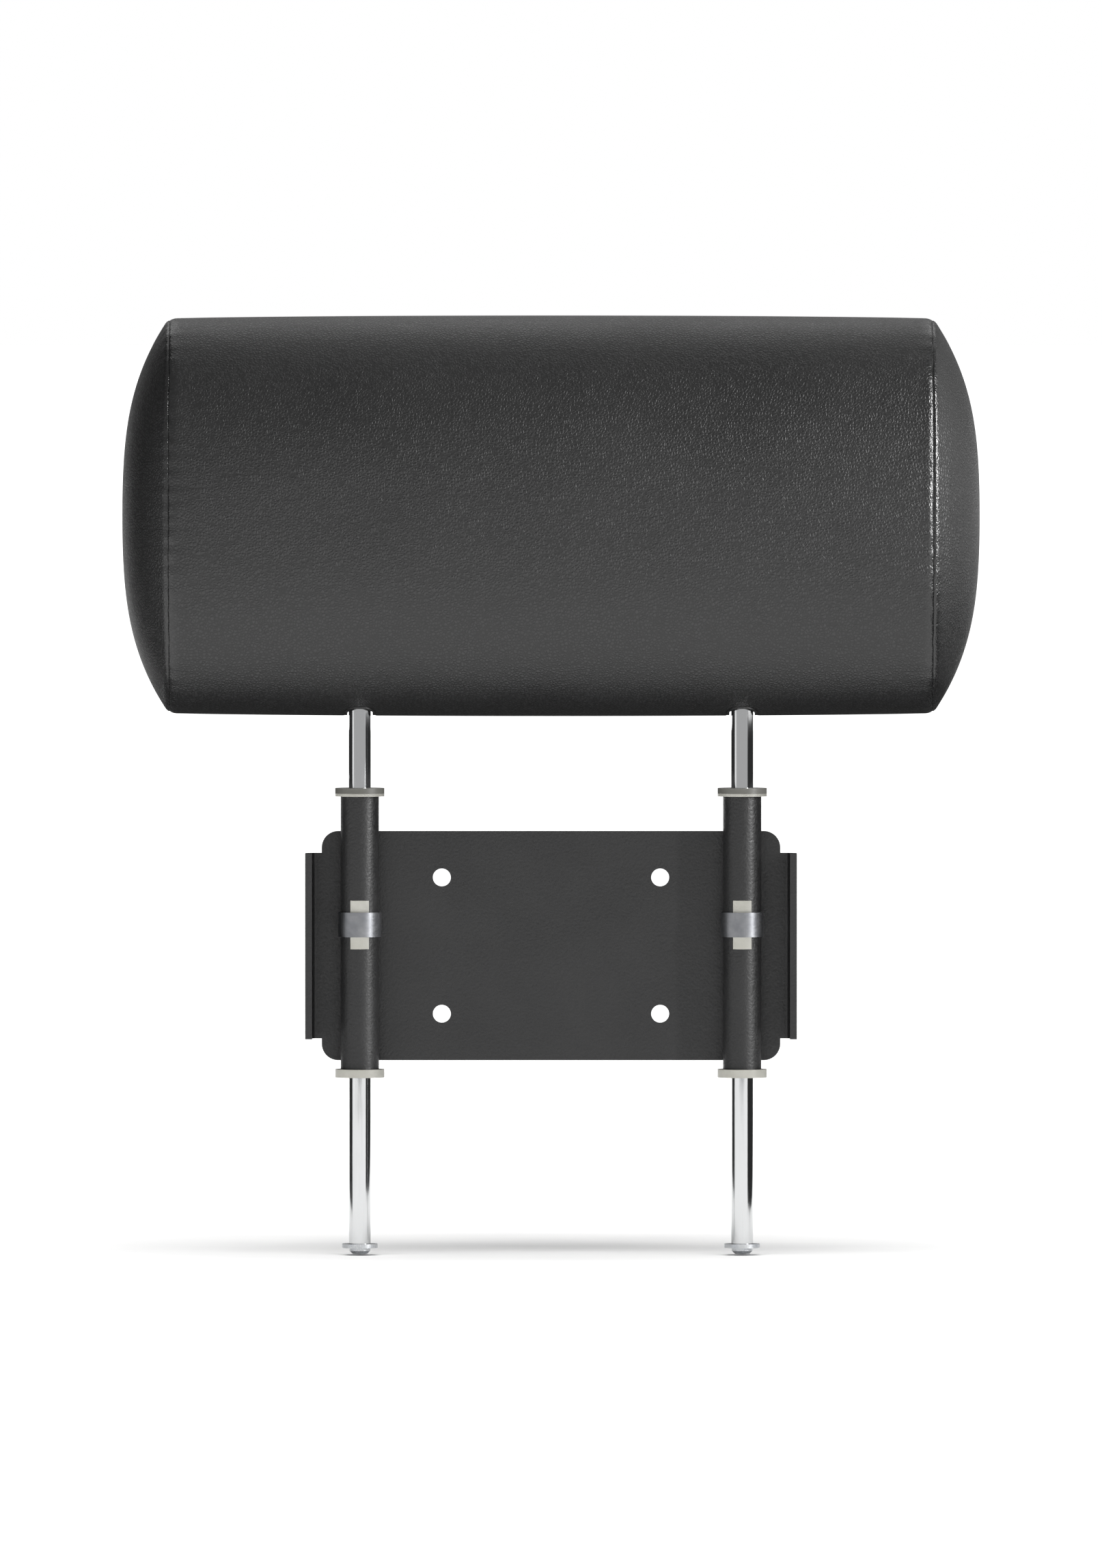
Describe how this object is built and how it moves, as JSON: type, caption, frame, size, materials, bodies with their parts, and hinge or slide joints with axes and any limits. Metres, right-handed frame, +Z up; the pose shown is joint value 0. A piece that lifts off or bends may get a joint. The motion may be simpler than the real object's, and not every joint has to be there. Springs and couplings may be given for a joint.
{
  "type": "chair headrest attachment",
  "caption": "Black leather bolster headrest on chrome posts that slide up and down in a bolt-on guide bracket, with a pad that tilts forward on the posts' cross bar.",
  "frame": {"origin": "centre of the bolt pattern on the mounting plate's front face, which rests on the chair back's inner shell", "axes": "+Z up along the posts, -Y towards the sitter's head, +X the sitter's left"},
  "size_m": [0.3148, 0.096, 0.3437],
  "materials": {
    "black_leather": "pebbled, satin",
    "chrome_rod": "polished",
    "black_powder_coat": "fine powder texture",
    "zinc_plated_steel": "bright zinc",
    "spring_steel": "oiled, blue-grey",
    "natural_nylon": "satin",
    "black_nylon": "satin",
    "plywood": "sanded birch",
    "foam": "open-cell foam"
  },
  "bodies": {
    "bracket": {"mount_plate": "black_powder_coat", "guide_tube_left": "black_powder_coat", "guide_tube_right": "black_powder_coat", "weld_beads": "black_powder_coat", "upper_bush_left": "natural_nylon", "upper_bush_right": "natural_nylon", "lower_bush_left": "natural_nylon", "lower_bush_right": "natural_nylon", "brake_shoe_left": "natural_nylon", "brake_shoe_right": "natural_nylon", "brake_clip_left": "spring_steel", "brake_clip_right": "spring_steel"},
    "posts": {"post_frame": "chrome_rod", "stop_washer_left": "zinc_plated_steel", "stop_washer_right": "zinc_plated_steel", "stop_screw_left": "zinc_plated_steel", "stop_screw_right": "zinc_plated_steel"},
    "pad": {"inner_board": "plywood", "pivot_base_left": "black_nylon", "pivot_base_right": "black_nylon", "pivot_cap_left": "black_nylon", "pivot_cap_right": "black_nylon", "pivot_liner_left": "natural_nylon", "pivot_liner_right": "natural_nylon", "clamp_screws": "zinc_plated_steel", "clamp_spring_washers": "spring_steel", "tee_nuts": "zinc_plated_steel", "foam_front": "foam", "foam_rear": "foam", "cover_wrap": "black_leather", "cover_end_left": "black_leather", "cover_end_right": "black_leather", "slot_trim_left": "black_nylon", "slot_trim_right": "black_nylon"}
  },
  "joints": [
    {"name": "height_slide", "type": "slide", "parent": "bracket", "child": "posts", "axis": [0, 0, 1], "range_m": [0, 0.06]},
    {"name": "tilt", "type": "hinge", "parent": "posts", "child": "pad", "pos_m": [0, 0.0095, 0.129], "axis": [1, 0, 0], "range_deg": [0, 25]}
  ]
}
